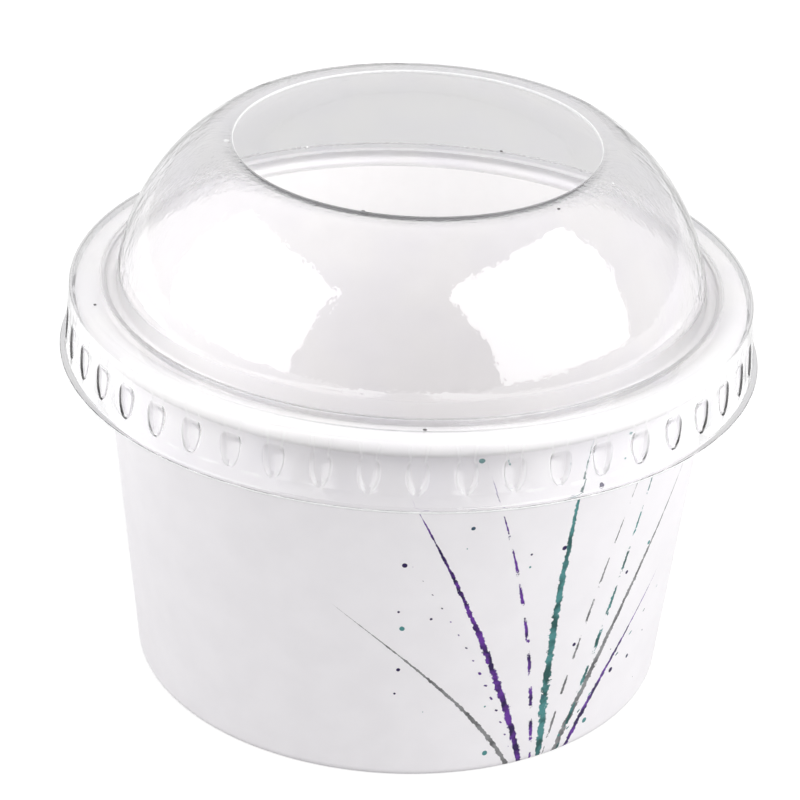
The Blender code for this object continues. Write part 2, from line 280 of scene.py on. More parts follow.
def seam_columns():
    """Angles round the wall, with how far its outer and its inner face stand out at each."""
    radius = wall_radius(cup_height / 2)
    outer_edge = (SEAM_ANGLE - SEAM_EDGE / radius, SEAM_ANGLE)
    lower_end = SEAM_ANGLE + SEAM_WIDTH / radius
    inner_edge = (lower_end, lower_end + SEAM_EDGE / radius)
    settled = inner_edge[1] + SEAM_RUN_OUT / radius
    own = [*outer_edge, *inner_edge]
    spacing = math.tau / WALL_COLUMNS
    angles = own + [a for a in even_round(WALL_COLUMNS) if min(abs(a - b) for b in own) > spacing / 4]
    columns = []
    for angle in sorted(angles):
        share = 0.0
        if outer_edge[1] <= angle < settled:
            share = clamped((settled - angle) / (settled - inner_edge[1]))
        outer = BOARD * eased(share)
        columns.append((angle, outer, outer if angle >= inner_edge[1] else 0.0))
    return columns


under_roll = cup_height - 2 * ROLL_RADIUS - ROLL_GAP
hem_outer = foot_radius - BOARD - HEM_POCKET
hem_inner = hem_outer - BOARD
rise = FOLD_RADIUS + BOARD
wall_angles, outer_lap, inner_lap = zip(*seam_columns())
plain = [0.0] * len(wall_angles)
section = [(wall_radius(FOLD_RADIUS), FOLD_RADIUS, plain)]
wall_levels = [rise + (under_roll - BOARD - rise) * step / WALL_STEPS for step in range(WALL_STEPS + 1)]
section += [(wall_radius(z), z, outer_lap) for z in wall_levels]
section += [(wall_radius(under_roll), under_roll, plain)]
section += [(r, z, plain) for r, z in roll_points(True)]
section += [(r, z, plain) for r, z in reversed(roll_points(False))]
section += [(wall_radius(under_roll) - BOARD, under_roll, plain)]
section += [(wall_radius(z) - BOARD, z, inner_lap) for z in reversed(wall_levels)]
section += [(wall_radius(BOARD) - BOARD, BOARD, plain), (hem_outer, BOARD, plain)]
section += [(hem_outer + WALL_LEAN * HEM_HEIGHT, HEM_HEIGHT, plain)]
section += [(hem_inner + WALL_LEAN * HEM_HEIGHT, HEM_HEIGHT, plain)]
fold = round_corner((hem_inner + FOLD_RADIUS, FOLD_RADIUS), FOLD_RADIUS, 180, 270, FOLD_STEPS)
fold += round_corner((foot_radius - FOLD_RADIUS, FOLD_RADIUS), FOLD_RADIUS, 270, 360, FOLD_STEPS)[:-1]
section += [(r, z, plain) for r, z in fold]

wall_rings = []
for r, z, lap in section:
    outs = [(a, r + out) for a, out in zip(wall_angles, lap)]
    wall_rings.append([(radius * math.cos(a), radius * math.sin(a), z) for a, radius in outs])
sidewall = skin_rings("sidewall", wall_rings)
sidewall.data.set_sharp_from_angle(angle=SHARP_ABOVE)

# The print is a field of slim grasses: blades, broken blades and rows of seeds fan out from one foot,
# twice round the cup. Places are counted in millimetres round the wall from the foot and up from the table.
VIOLET = ((0.018, 0.006, 0.060, 1.0), (0.130, 0.032, 0.300, 1.0))
TEAL = ((0.016, 0.075, 0.070, 1.0), (0.072, 0.245, 0.245, 1.0))
GREY = ((0.115, 0.115, 0.118, 1.0), (0.250, 0.250, 0.255, 1.0))
PRINT_WHITE = (0.90, 0.88, 0.905, 1.0)
PRINT_SHADE = (0.875, 0.855, 0.88, 1.0)
PRINT_CLOUDS = (180, 3.0)
PRINT_DEPTH = (0.6, 0.4)  # the print starts between these shares of the board, in from its outer face
PRINT_FADE = 0.2 * BOARD
PRINTED_SLOT, PLAIN_SLOT = 0, 1
PRINT_RADIUS_MM = 41.0
SHEAF_ANGLE = math.radians(-58)
SHEAF_TURN = math.pi
INK_TONES = (500, 2.0)
NOISE_NARROW = (0.4, 0.6)
INK_RAGGED = (1100, 4.0, 0.75)
RAGGED_WIDTH = (0.3, 1.35)  # least and greatest share of a stroke's width
EDGE_MM = 0.05
# kind, inks, foot, reach at the tip, bend, lowest, highest, half width
GRASSES = (
    ("blade", VIOLET, -2.0, -15.0, -5.0, -3.0, 47.0, 0.80),
    ("blade", TEAL, 0.5, -3.5, 5.0, -3.0, 54.0, 0.95),
    ("blade", GREY, 2.0, 16.0, 9.0, -3.0, 43.0, 0.85),
    ("broken", VIOLET, -1.0, -4.0, -8.0, -2.0, 53.0, 0.46),
    ("broken", TEAL, 3.0, 17.0, -3.0, -2.0, 52.0, 0.55),
    ("blade", GREY, -3.5, -15.0, -14.0, -3.0, 29.0, 0.60),
    ("seeds", TEAL, 4.5, 14.0, 17.0, 2.0, 26.0, 0.42),
    ("blade", VIOLET, 4.0, 10.0, 9.0, -3.0, 24.0, 0.75),
    ("seeds", VIOLET, -5.0, -13.0, -6.0, 3.0, 40.0, 0.38),
    ("broken", GREY, 1.0, 9.0, 4.0, 0.0, 50.0, 0.36),
)
TAPER_ROOT = 0.35  # power of the height by which a grass swells from its foot
TAPER_SCALE = 1.75  # brings the taper's widest place to about the half width
SEED_SPACING_MM = 2.3
DASH_SPACING_MM = 6.0
DASH_SHIFT = 2.5  # how far the ragged noise shifts the breaks, in radians
DASH_STARTS = (-0.35, -0.15)  # of a sine up the blade, whose lower part has no ink
SPLASH_CELL_MM = 4.4
SPLASH_SHARE = 0.70  # share of the cells that hold no splash
SPLASH_SIZE_MM = 1.5
SPLASH_LEAST_MM = 0.06  # smaller ones are left out
SPLASH_RAGGED_MM = 0.08
SPLASH_REACH_MM = 24.0
SPLASH_FADE_MM = 1.0
SPLASH_INKS = (0.45, 0.5)  # of a cell's chance, violet below and teal above


def add_math(tree, operation, *values):
    """The result of one arithmetic step. Each value is a socket or a plain number."""
    step = tree.nodes.new("ShaderNodeMath")
    step.operation = operation
    for value, socket in zip(values, step.inputs):
        if isinstance(value, bpy.types.NodeSocket):
            tree.links.new(value, socket)
        else:
            socket.default_value = value
    return step.outputs[0]


def add_length(tree, one_way, other_way):
    """The length of a step of so much one way and so much square to it."""
    other_square = add_math(tree, "MULTIPLY", other_way, other_way)
    return add_math(tree, "SQRT", add_math(tree, "MULTIPLY_ADD", one_way, one_way, other_square))


def add_place(tree):
    """The place on the piece as x, y and z, with its distance from the axis."""
    parts = tree.nodes.new("ShaderNodeSeparateXYZ")
    tree.links.new(tree.nodes.new("ShaderNodeTexCoord").outputs["Object"], parts.inputs["Vector"])
    x, y, z = parts.outputs
    return x, y, z, add_length(tree, x, y)


def add_stroke(tree, across, up, ragged, kind, foot, reach, bend, lowest, highest, half_width):
    """How much ink one grass lays down at a place on the wall, from 0 to 1."""
    along = add_math(tree, "DIVIDE", add_math(tree, "SUBTRACT", up, lowest), highest - lowest)
    along = add_spread(tree, along, 0.0, 1.0)
    lean = add_math(tree, "MULTIPLY_ADD", add_math(tree, "MULTIPLY", along, bend), along, foot)
    middle = add_math(tree, "MULTIPLY_ADD", along, reach, lean)
    off = add_math(tree, "ABSOLUTE", add_math(tree, "SUBTRACT", across, middle))
    if kind == "seeds":
        cell = add_math(tree, "FRACT", add_math(tree, "DIVIDE", up, SEED_SPACING_MM))
        beside = add_math(tree, "MULTIPLY", add_math(tree, "SUBTRACT", cell, 0.5), SEED_SPACING_MM)
        off = add_length(tree, off, beside)
    swell = add_math(tree, "POWER", along, TAPER_ROOT)
    taper = add_math(tree, "MULTIPLY", add_math(tree, "SUBTRACT", 1.0, along), swell)
    width = add_math(tree, "MULTIPLY", taper, half_width * TAPER_SCALE)
    width = add_math(tree, "MULTIPLY", width, ragged)
    ink = add_spread(tree, add_math(tree, "SUBTRACT", width, off), 0.0, EDGE_MM)
    if kind == "broken":
        shift = add_math(tree, "MULTIPLY", ragged, DASH_SHIFT)
        beat = add_math(tree, "MULTIPLY_ADD", up, math.tau / DASH_SPACING_MM, shift)
        dashes = add_spread(tree, add_math(tree, "SINE", beat), *DASH_STARTS)
        ink = add_math(tree, "MULTIPLY", ink, dashes)
    return ink


wall_material, tree, shader, output = new_material("Coated board, printed")
colour = finish_board(tree, shader)
cloud = add_spread(tree, add_noise(tree, *PRINT_CLOUDS), *NOISE_MIDDLE)
bare = add_mix(tree, cloud, PRINT_WHITE, PRINT_SHADE)
x, y, z, distance = add_place(tree)
from_sheaf = add_math(tree, "SUBTRACT", add_math(tree, "ARCTAN2", y, x), SHEAF_ANGLE)
from_sheaf = add_math(tree, "WRAP", from_sheaf, SHEAF_TURN / 2, -SHEAF_TURN / 2)
across = add_math(tree, "MULTIPLY", from_sheaf, PRINT_RADIUS_MM)
up = add_math(tree, "MULTIPLY", z, 1 / MM)
ragged = add_spread(tree, add_noise(tree, *INK_RAGGED), *NOISE_WIDE, *RAGGED_WIDTH)
tone = add_spread(tree, add_noise(tree, *INK_TONES), *NOISE_NARROW)

out_from_middle = add_math(tree, "SUBTRACT", distance, add_math(tree, "MULTIPLY", z, WALL_LEAN))
outside = add_spread(tree, out_from_middle, *(foot_radius - BOARD * share for share in PRINT_DEPTH))
below_roll = add_spread(tree, z, under_roll - BOARD, under_roll - BOARD - PRINT_FADE)
printed = add_math(tree, "MULTIPLY", outside, below_roll)
colour = add_mix(tree, printed, colour, bare)
for kind, inks, *shape in GRASSES:
    ink = add_math(tree, "MULTIPLY", add_stroke(tree, across, up, ragged, kind, *shape), printed)
    colour = add_mix(tree, ink, colour, add_mix(tree, tone, *inks))

# Splashes of ink lie scattered among the grasses.
flat = tree.nodes.new("ShaderNodeCombineXYZ")
tree.links.new(add_math(tree, "DIVIDE", across, SPLASH_CELL_MM), flat.inputs["X"])
tree.links.new(add_math(tree, "DIVIDE", up, SPLASH_CELL_MM), flat.inputs["Y"])
splash = tree.nodes.new("ShaderNodeTexVoronoi")
splash.voronoi_dimensions = "2D"
splash.inputs["Scale"].default_value = 1.0
tree.links.new(flat.outputs["Vector"], splash.inputs["Vector"])
chance = tree.nodes.new("ShaderNodeSeparateColor")
tree.links.new(splash.outputs["Color"], chance.inputs["Color"])
size = add_math(tree, "SUBTRACT", chance.outputs["Red"], SPLASH_SHARE)
size = add_math(tree, "MULTIPLY", size, SPLASH_SIZE_MM)
ink = add_math(tree, "MULTIPLY_ADD", splash.outputs["Distance"], -SPLASH_CELL_MM, size)
ink = add_math(tree, "MULTIPLY_ADD", ragged, SPLASH_RAGGED_MM, ink)
ink = add_spread(tree, ink, SPLASH_LEAST_MM, SPLASH_LEAST_MM + EDGE_MM)
ink = add_math(tree, "MULTIPLY", ink, printed)
near = add_math(tree, "ABSOLUTE", across)
near = add_spread(tree, near, SPLASH_REACH_MM, SPLASH_REACH_MM - SPLASH_FADE_MM)
ink = add_math(tree, "MULTIPLY", ink, near)
which = add_spread(tree, chance.outputs["Green"], *SPLASH_INKS)
colour = add_mix(tree, ink, colour, add_mix(tree, which, VIOLET[0], TEAL[1]))
tree.links.new(colour, shader.inputs["Base Color"])
sidewall.data.materials.append(wall_material)
sidewall.data.materials.append(disc_material)
for face in sidewall.data.polygons:
    outer = face.center.xy.length - WALL_LEAN * face.center.z > foot_radius - BOARD * PRINT_DEPTH[0]
    face.material_index = PRINTED_SLOT if outer and face.center.z < under_roll else PLAIN_SLOT
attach(sidewall, "cup")
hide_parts("cup_wall")


# Dome lid
# One sheet of clear plastic, drawn over a mould while hot and trimmed: the dome with its serving hole,
# the groove that drops into the cup's mouth, the flange over the roll, and the skirt with its tongues.
SHEET = 0.38 * MM
HOLE_RADIUS = 25.4 * MM
CROWN_RADIUS = 28.8 * MM
CROWN_ROUND = 1.2 * MM
CROWN_STEPS = 6
DOME_BULGE = 28.8 * MM  # radius of the dome's side in section
DOME_STEPS = 20
SKIRT_HEIGHT = 10.7 * MM
GROOVE_WIDTH = 1.3 * MM
GROOVE_DEPTH = 1.5 * MM
GROOVE_STEPS = 10
SHOULDER = 0.7 * MM
SHOULDER_FROM = 153  # degrees at which the shoulder's arc takes over from the side of the groove
SHOULDER_STEPS = 5
FLANGE_CORNER = 1.4 * MM
FLANGE_STEPS = 8
SKIRT_LEAN = 0.08
LIP_BEND = 0.3 * MM
LIP_STEPS = 5
CUT_EDGE = 0.12 * MM
CUT_STEPS = 3
TRIM_BURR = 0.035 * MM  # left hanging under the hole's edge by the trimming knife
HOLD = 0.12 * MM  # from a bend to the next row of points, so that the flat beside it stays flat
TONGUES = 48
TONGUE_ANGLE = math.radians(-87.8)
TONGUE_TOP = 3.6 * MM
TONGUE_TIP = 8.5 * MM
TONGUE_DEPTH = 0.5 * MM
TONGUE_WIDEST = 0.3  # share of a tongue's height, from its top, at which it has its full width
TONGUE_HEAD = 0.7  # width at the top as a share of the full width
TONGUE_POINT = 2.2  # power that rounds the lower end
TONGUE_LEAST = 0.08  # least share of the width, squared
TONGUE_TOP_RAMP = 0.3  # shares of the height over which a tongue gets its depth
TONGUE_TIP_RAMP = 0.12
TONGUE_ROWS = 18
# Places across half a tongue, and beside it, with how deep the sheet is drawn in there
TONGUE_ACROSS = ((0.0, 1.0), (1.12 * MM, 0.95), (1.34 * MM, 0.5), (1.5 * MM, 0.1), (1.75 * MM, 0.0))
TONGUE_SIDE = 0.3  # a face is a tongue's side if it gains more than this share of the depth
PET_WHITE = (1.0, 0.996, 1.0, 1.0)
PET_SHADE = (0.985, 0.98, 0.997, 1.0)
PET_IOR = 1.57
PET_PASSES = (0.98, 0.98, 0.98, 1.0)  # share of the light that each face of the sheet lets through
PET_CLOUDS = (120, 1.0)
PET_SCUFFS = (350, 2.0, 0.7)
SCUFFED = (0.45, 0.75)  # part of the noise over which the sheet goes from clean to scuffed
SCUFF_ROUGHNESS = (0.015, 0.07)
BEND_HAZE = 0.3  # roughness that the sheet gets where it is drawn round the groove
BEND_LEVEL = -0.3 * MM  # height from the flange at which that haze is fullest
BEND_REACH = (1.2 * MM, 2.2 * MM)  # up and down from there, over which it ends
DRAWN_HAZE = 0.3  # roughness where the sides of the tongues are drawn in
PET_WAVES = (70, 1.0)
PET_WAVES_UPRIGHT = (1.0, 1.0, 0.5)
PET_RIPPLE = (350, 3.0, 0.55)
PET_WAVE_BUMP = (0.25, 0.6 * MM)
PET_RIPPLE_BUMP = (0.35, 0.12 * MM)
STREAKS = (25, 1.0)  # drag lines of the mould, about one in 1.2 mm round the crown
STREAK_PULL = 5.0  # how fast they change downwards, as a share of how fast they change round the crown
STREAK_BUMP = (0.06, 0.12 * MM)
STREAKS_FULL = 4.0 * MM  # below the crown
STREAKS_END = 10.0 * MM
CUT_WHITE = (0.95, 0.95, 0.955, 1.0)
CUT_SHADE = (0.86, 0.86, 0.87, 1.0)
CUT_PAINTED_SHADE = (0.16, 0.16, 0.17, 1.0)  # painted shade: the matt face seen from within the sheet is coloured dark, as little light gets into the sheet to reach it
CUT_GRAIN = (2500, 2.0)
CUT_GRAIN_BUMP = (0.2, 0.05 * MM)
CUT_ROUGHNESS = 0.45
CUT_CLEAR = 0.1
CUT_FACE = 0.02 * MM  # how far from the cut itself a face still counts as cut
CUT_SLOT, DRAWN_SLOT = 1, 2

lid_low, lid_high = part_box("dome_lid")
flange_level = lid_low.z + SKIRT_HEIGHT
dome_height = lid_high.z - flange_level
lip_radius = lid_high.x
skirt_foot = lip_radius - 2 * LIP_BEND
mouth_radius = wall_radius(cup_height - ROLL_RADIUS) - BOARD
clearance = flange_level - SHEET - cup_height
groove_outer = mouth_radius - clearance - SHEET


def skirt_radius(depth):
    return skirt_foot - SKIRT_LEAN * (SKIRT_HEIGHT - depth)


def dome_side():
    """The bulging side of the dome, from the crown down to the groove."""
    foot, head = (groove_outer - GROOVE_WIDTH, 0.0), (CROWN_RADIUS, dome_height)
    chord = math.dist(foot, head)
    reach = math.sqrt(DOME_BULGE**2 - (chord / 2) ** 2)
    across = ((head[0] - foot[0]) / chord, (head[1] - foot[1]) / chord)
    centre = ((foot[0] + head[0]) / 2 - across[1] * reach, (foot[1] + head[1]) / 2 + across[0] * reach)
    start = math.degrees(math.atan2(head[1] - centre[1], head[0] - centre[0]))
    end = math.degrees(math.atan2(foot[1] - centre[1], foot[0] - centre[0]))
    return round_corner(centre, DOME_BULGE, start, end, DOME_STEPS)


def eased_crown(side):
    """The flat ring round the hole, its outer corner eased into the dome's side."""
    below = [point for point in side if math.dist(point, side[0]) > CROWN_ROUND]
    start, corner, end = (CROWN_RADIUS - CROWN_ROUND, dome_height), side[0], below[0]
    points = [(HOLE_RADIUS + CUT_EDGE + HOLD, dome_height), (start[0] - HOLD, dome_height)]
    for step in range(CROWN_STEPS + 1):
        t = step / CROWN_STEPS
        pulls = (((1 - t) ** 2, start), (2 * t * (1 - t), corner), (t * t, end))
        points.append(tuple(sum(pull * point[axis] for pull, point in pulls) for axis in (0, 1)))
    return points + below[1:]


def inner_face(points, thickness):
    """The sheet's other face: each point moved square to the section."""
    moved = []
    for k, (r, z) in enumerate(points):
        before, after = points[max(k - 1, 0)], points[min(k + 1, len(points) - 1)]
        dr, dz = after[0] - before[0], after[1] - before[1]
        length = math.hypot(dr, dz)
        moved.append((r + dz / length * thickness, z - dr / length * thickness))
    return moved


def lid_columns():
    """Angles round the lid, with how deep each stands in its tongue."""
    pitch = math.tau / TONGUES
    radius = skirt_radius(TONGUE_TOP)
    columns = []
    for k in range(TONGUES):
        middle = TONGUE_ANGLE + k * pitch
        columns += [(middle, s / radius, share) for s, share in TONGUE_ACROSS]
        columns += [(middle + pitch / 2, 0.0, 0.0)]
        columns += [(middle + pitch, -s / radius, share) for s, share in reversed(TONGUE_ACROSS[1:])]
    return columns


def tongue_narrowing(down):
    """Width of a tongue as a share of its full width, down from its top at 0 to its tip at 1."""
    if down < TONGUE_WIDEST:
        return 1 - (1 - TONGUE_HEAD) * (1 - down / TONGUE_WIDEST) ** 2
    away = (down - TONGUE_WIDEST) / (1 - TONGUE_WIDEST)
    return math.sqrt(max(TONGUE_LEAST, 1 - away**TONGUE_POINT))


def tongue_depth(down):
    """How deep the sheet is drawn in, down from a tongue's top at 0 to its tip at 1."""
    return eased(clamped(down / TONGUE_TOP_RAMP)) * eased(clamped((1 - down) / TONGUE_TIP_RAMP))


def down_tongue(level):
    """How far down the tongues a level lies, from their top at 0 to their tip at 1."""
    return (-level - TONGUE_TOP) / (TONGUE_TIP - TONGUE_TOP)


def lid_ring(radius, level, columns):
    """A ring of the lid, drawn in at the tongues if it lies at their height."""
    down = down_tongue(level)
    narrowing, depth = 1.0, 0.0
    if 0 <= down <= 1 and radius > groove_outer + FLANGE_CORNER:
        narrowing, depth = tongue_narrowing(down), TONGUE_DEPTH * tongue_depth(down)
    points = []
    for middle, offset, share in columns:
        angle, reach = middle + offset * narrowing, radius - depth * share
        points.append((reach * math.cos(angle), reach * math.sin(angle), flange_level + level))
    return points


groove_round = GROOVE_WIDTH / 2
groove_centre = (groove_outer - groove_round, groove_round - GROOVE_DEPTH)
upper = eased_crown(dome_side())[:-1]
upper += round_corner(groove_centre, groove_round, 180, 360, GROOVE_STEPS)
upper += round_corner((groove_outer + SHOULDER, -SHOULDER), SHOULDER, SHOULDER_FROM, 90, SHOULDER_STEPS)
flange_end = skirt_radius(FLANGE_CORNER) - FLANGE_CORNER
upper += [(groove_outer + SHOULDER + HOLD, 0.0), (flange_end - HOLD, 0.0)]
upper += round_corner((flange_end, -FLANGE_CORNER), FLANGE_CORNER, 90, 0, FLANGE_STEPS)
upper += [(skirt_radius(FLANGE_CORNER + HOLD), -FLANGE_CORNER - HOLD)]
rows = [(1 - math.cos(math.pi * k / TONGUE_ROWS)) / 2 for k in range(TONGUE_ROWS + 1)]
skirt_depths = [TONGUE_TOP + (TONGUE_TIP - TONGUE_TOP) * row for row in rows]
skirt = [(skirt_radius(depth), -depth) for depth in skirt_depths]
lip_level = SHEET - SKIRT_HEIGHT
lip = round_corner((skirt_foot + LIP_BEND, lip_level + LIP_BEND), LIP_BEND, 180, 270, LIP_STEPS)
lip += [(lip_radius - CUT_EDGE, lip_level)]

outer_face = upper + skirt + lip
under_face = inner_face(outer_face, SHEET)


def cut_edge(radius, level, out, burr=0.0):
    """A cut edge with its two rounded corners, outer face first. out is 1, or -1 round the hole."""
    middle, foot = radius - out * CUT_EDGE, level - SHEET - burr
    points = round_corner((middle, level - CUT_EDGE), CUT_EDGE, 90, 90 - out * 90, CUT_STEPS)
    points += round_corner((middle, foot + CUT_EDGE), CUT_EDGE, 90 - out * 90, 90 - out * 180, CUT_STEPS)
    return points


lid_section = outer_face + cut_edge(lip_radius, lip_level, 1)[1:-1]
lid_section += under_face[::-1] + cut_edge(HOLE_RADIUS, dome_height, -1, TRIM_BURR)[::-1]
lid_places = lid_columns()
dome_lid = skin_rings("clear_dome", [lid_ring(r, z, lid_places) for r, z in lid_section])

lid_material, tree, shader, output = new_material("Clear sheet")
haze = add_spread(tree, add_noise(tree, *PET_CLOUDS), *NOISE_NARROW)
tree.links.new(add_mix(tree, haze, PET_WHITE, PET_SHADE), shader.inputs["Base Color"])
shader.inputs["Transmission Weight"].default_value = 1.0
shader.inputs["IOR"].default_value = PET_IOR
scuff = add_spread(tree, add_noise(tree, *PET_SCUFFS), *SCUFFED, *SCUFF_ROUGHNESS)
x, y, z, distance = add_place(tree)
off_groove = add_math(tree, "ABSOLUTE", add_math(tree, "SUBTRACT", z, flange_level + BEND_LEVEL))
off_groove = add_spread(tree, off_groove, *BEND_REACH)
at_bends = add_spread(tree, distance, groove_outer + 2 * SHOULDER, groove_outer + SHOULDER)
bent = add_math(tree, "MULTIPLY", at_bends, add_math(tree, "SUBTRACT", 1.0, off_groove))
tree.links.new(add_math(tree, "MULTIPLY_ADD", bent, BEND_HAZE, scuff), shader.inputs["Roughness"])
round_way = tree.nodes.new("ShaderNodeCombineXYZ")
tree.links.new(add_math(tree, "DIVIDE", x, distance), round_way.inputs["X"])
tree.links.new(add_math(tree, "DIVIDE", y, distance), round_way.inputs["Y"])
tree.links.new(add_math(tree, "MULTIPLY", z, STREAK_PULL), round_way.inputs["Z"])
streaks = add_noise(tree, *STREAKS, place=round_way.outputs["Vector"])
near_crown = add_spread(tree, z, lid_high.z - STREAKS_END, lid_high.z - STREAKS_FULL)


def add_sheet_place(tree):
    """The place half way through the sheet, which makes the relief of its two faces one and the same."""
    place = tree.nodes.new("ShaderNodeTexCoord")
    from_within = tree.nodes.new("ShaderNodeNewGeometry").outputs["Backfacing"]
    inwards = tree.nodes.new("ShaderNodeVectorMath")
    inwards.operation = "SCALE"
    tree.links.new(place.outputs["Normal"], inwards.inputs[0])
    half_way = add_math(tree, "MULTIPLY_ADD", from_within, SHEET, -SHEET / 2)
    tree.links.new(half_way, inwards.inputs["Scale"])
    middle = tree.nodes.new("ShaderNodeVectorMath")
    tree.links.new(place.outputs["Object"], middle.inputs[0])
    tree.links.new(inwards.outputs["Vector"], middle.inputs[1])
    return middle.outputs["Vector"]


def add_relief(tree, height, share, strength, distance, under=None):
    """A bump of noise about its middle, as far as share lets it show."""
    level = add_math(tree, "MULTIPLY", add_math(tree, "SUBTRACT", height, 0.5), share)
    return add_bump(tree, level, strength, distance, under)


in_sheet = add_sheet_place(tree)
waves = add_noise(tree, *PET_WAVES, stretch=PET_WAVES_UPRIGHT, place=in_sheet)
waves = add_relief(tree, waves, off_groove, *PET_WAVE_BUMP)
ripple = add_relief(tree, add_noise(tree, *PET_RIPPLE, place=in_sheet), off_groove, *PET_RIPPLE_BUMP, waves)
drag = add_relief(tree, streaks, near_crown, *STREAK_BUMP, ripple)
tree.links.new(drag, shader.inputs["Normal"])

# Light on its way to or from the board passes straight through the thin sheet, and is counted once.
ray = tree.nodes.new("ShaderNodeLightPath")
passing = tree.nodes.new("ShaderNodeBsdfTransparent")
passing.inputs["Color"].default_value = PET_PASSES
lit = tree.nodes.new("ShaderNodeMixShader")
lighting = add_math(tree, "MAXIMUM", ray.outputs["Is Shadow Ray"], ray.outputs["Is Diffuse Ray"])
tree.links.new(lighting, lit.inputs["Fac"])
tree.links.new(shader.outputs["BSDF"], lit.inputs[1])
tree.links.new(passing.outputs["BSDF"], lit.inputs[2])
tree.links.new(lit.outputs["Shader"], output.inputs["Surface"])

# The sides of the tongues, where the sheet is drawn thinnest, are hazy.
drawn_material = lid_material.copy()
drawn_material.name = "Clear sheet, drawn thin"
drawn_roughness = drawn_material.node_tree.nodes["Principled BSDF"].inputs["Roughness"]
drawn_material.node_tree.links.remove(drawn_roughness.links[0])
drawn_roughness.default_value = DRAWN_HAZE

# The trimming knife leaves the cut edges of the hole and of the lip matt and whitish. Seen from within the
# sheet they get a painted shade, dark, as little light reaches them there.
cut_material, tree, shader, output = new_material("Clear sheet, cut edge")
grain = add_spread(tree, add_noise(tree, *CUT_GRAIN), *NOISE_MIDDLE)
within = tree.nodes.new("ShaderNodeNewGeometry").outputs["Backfacing"]
# Painted shade: the cut face seen from within the sheet is given a dark colour in place of its whitish one.
cut_colour_with_painted_shade = add_mix(tree, within, add_mix(tree, grain, CUT_WHITE, CUT_SHADE), CUT_PAINTED_SHADE)
tree.links.new(cut_colour_with_painted_shade, shader.inputs["Base Color"])
shader.inputs["Roughness"].default_value = CUT_ROUGHNESS
shader.inputs["Transmission Weight"].default_value = CUT_CLEAR
shader.inputs["IOR"].default_value = PET_IOR
tree.links.new(add_bump(tree, grain, *CUT_GRAIN_BUMP), shader.inputs["Normal"])

for material in (lid_material, cut_material, drawn_material):
    dome_lid.data.materials.append(material)
shares = [share for middle, offset, share in lid_places]
for face in dome_lid.data.polygons:
    ring, column = divmod(face.index, len(shares))
    reach = [math.hypot(*dome_lid.data.vertices[v].co.xy) for v in face.vertices]
    at_hole, at_lip = max(reach) < HOLE_RADIUS + CUT_EDGE + CUT_FACE, min(reach) > lip_radius - CUT_FACE
    on_skirt = 0 < down_tongue(lid_section[ring][1]) < 1 and min(reach) > groove_outer + FLANGE_CORNER
    steep = abs(shares[column] - shares[(column + 1) % len(shares)]) > TONGUE_SIDE
    if at_hole or at_lip:
        face.material_index = CUT_SLOT
    elif on_skirt and steep:
        face.material_index = DRAWN_SLOT
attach(dome_lid, "lid")
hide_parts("dome_lid")


# Burrs and specks
# Small shreds of the same sheet, left by the trimming knife, and dark specks of dust.
# Static holds them to the lid, so they go where it goes.
SPECK_DARK = (0.045, 0.042, 0.045, 1.0)
SPECK_BROWN = (0.16, 0.15, 0.15, 1.0)
SPECK_MOTTLE = (4000, 2.0)
SPECK_ROUGHNESS = (0.6, 0.85)
SPECK_ROUNDING = 2  # times that the round of each speck is divided
crown_level = (lid_high.z - lid_low.z) / MM - SKIRT_HEIGHT / MM
# finish, turned from +X in degrees, then in mm: out from the axis, above the flange, and the half sizes
SPECKS = (
    ("burr", -173.3, 26.3, crown_level - 0.19, (0.42, 0.45, 0.18)),
    ("burr", 114.2, 40.45, 2.65, (0.12, 0.22, 0.2)),
    ("burr", -23.1, 28.6, crown_level - 0.6, (0.2, 0.3, 0.16)),
    ("dust", -105.5, 25.2, crown_level - 0.19, (0.22, 0.34, 0.17)),
    ("dust", -104.0, 25.75, crown_level - 0.17, (0.16, 0.24, 0.15)),
    ("dust", -120.0, 25.6, crown_level - 0.14, (0.14, 0.2, 0.12)),
    ("dust", -47.8, 28.1, crown_level - 0.32, (0.2, 0.26, 0.16)),
    ("dust", 71.8, 40.45, 2.7, (0.12, 0.26, 0.14)),
    ("dust", -86.9, 46.35, 0.03, (0.26, 0.3, 0.08)),
    ("dust", -161.4, 45.35, 0.03, (0.22, 0.24, 0.08)),
)
dust_material, tree, shader, output = new_material("Dust")
mottle = add_spread(tree, add_noise(tree, *SPECK_MOTTLE), *NOISE_NARROW)
tree.links.new(add_mix(tree, mottle, SPECK_DARK, SPECK_BROWN), shader.inputs["Base Color"])
tree.links.new(add_spread(tree, mottle, 0.0, 1.0, *SPECK_ROUGHNESS), shader.inputs["Roughness"])

bm = bmesh.new()
for finish, turned, out, above, half_sizes in SPECKS:
    put = Matrix.Rotation(math.radians(turned), 4, "Z")
    put = put @ Matrix.Translation((out * MM, 0.0, flange_level + above * MM))
    put = put @ Matrix.Diagonal([half * MM for half in half_sizes] + [1.0])
    made = bmesh.ops.create_icosphere(bm, subdivisions=SPECK_ROUNDING, radius=1.0, matrix=put)
    for face in {face for vert in made["verts"] for face in vert.link_faces}:
        face.material_index = int(finish == "dust")
        face.smooth = True
specks = piece_of("burrs_and_specks", bm)
specks.data.materials.append(cut_material)
specks.data.materials.append(dust_material)
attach(specks, "lid")


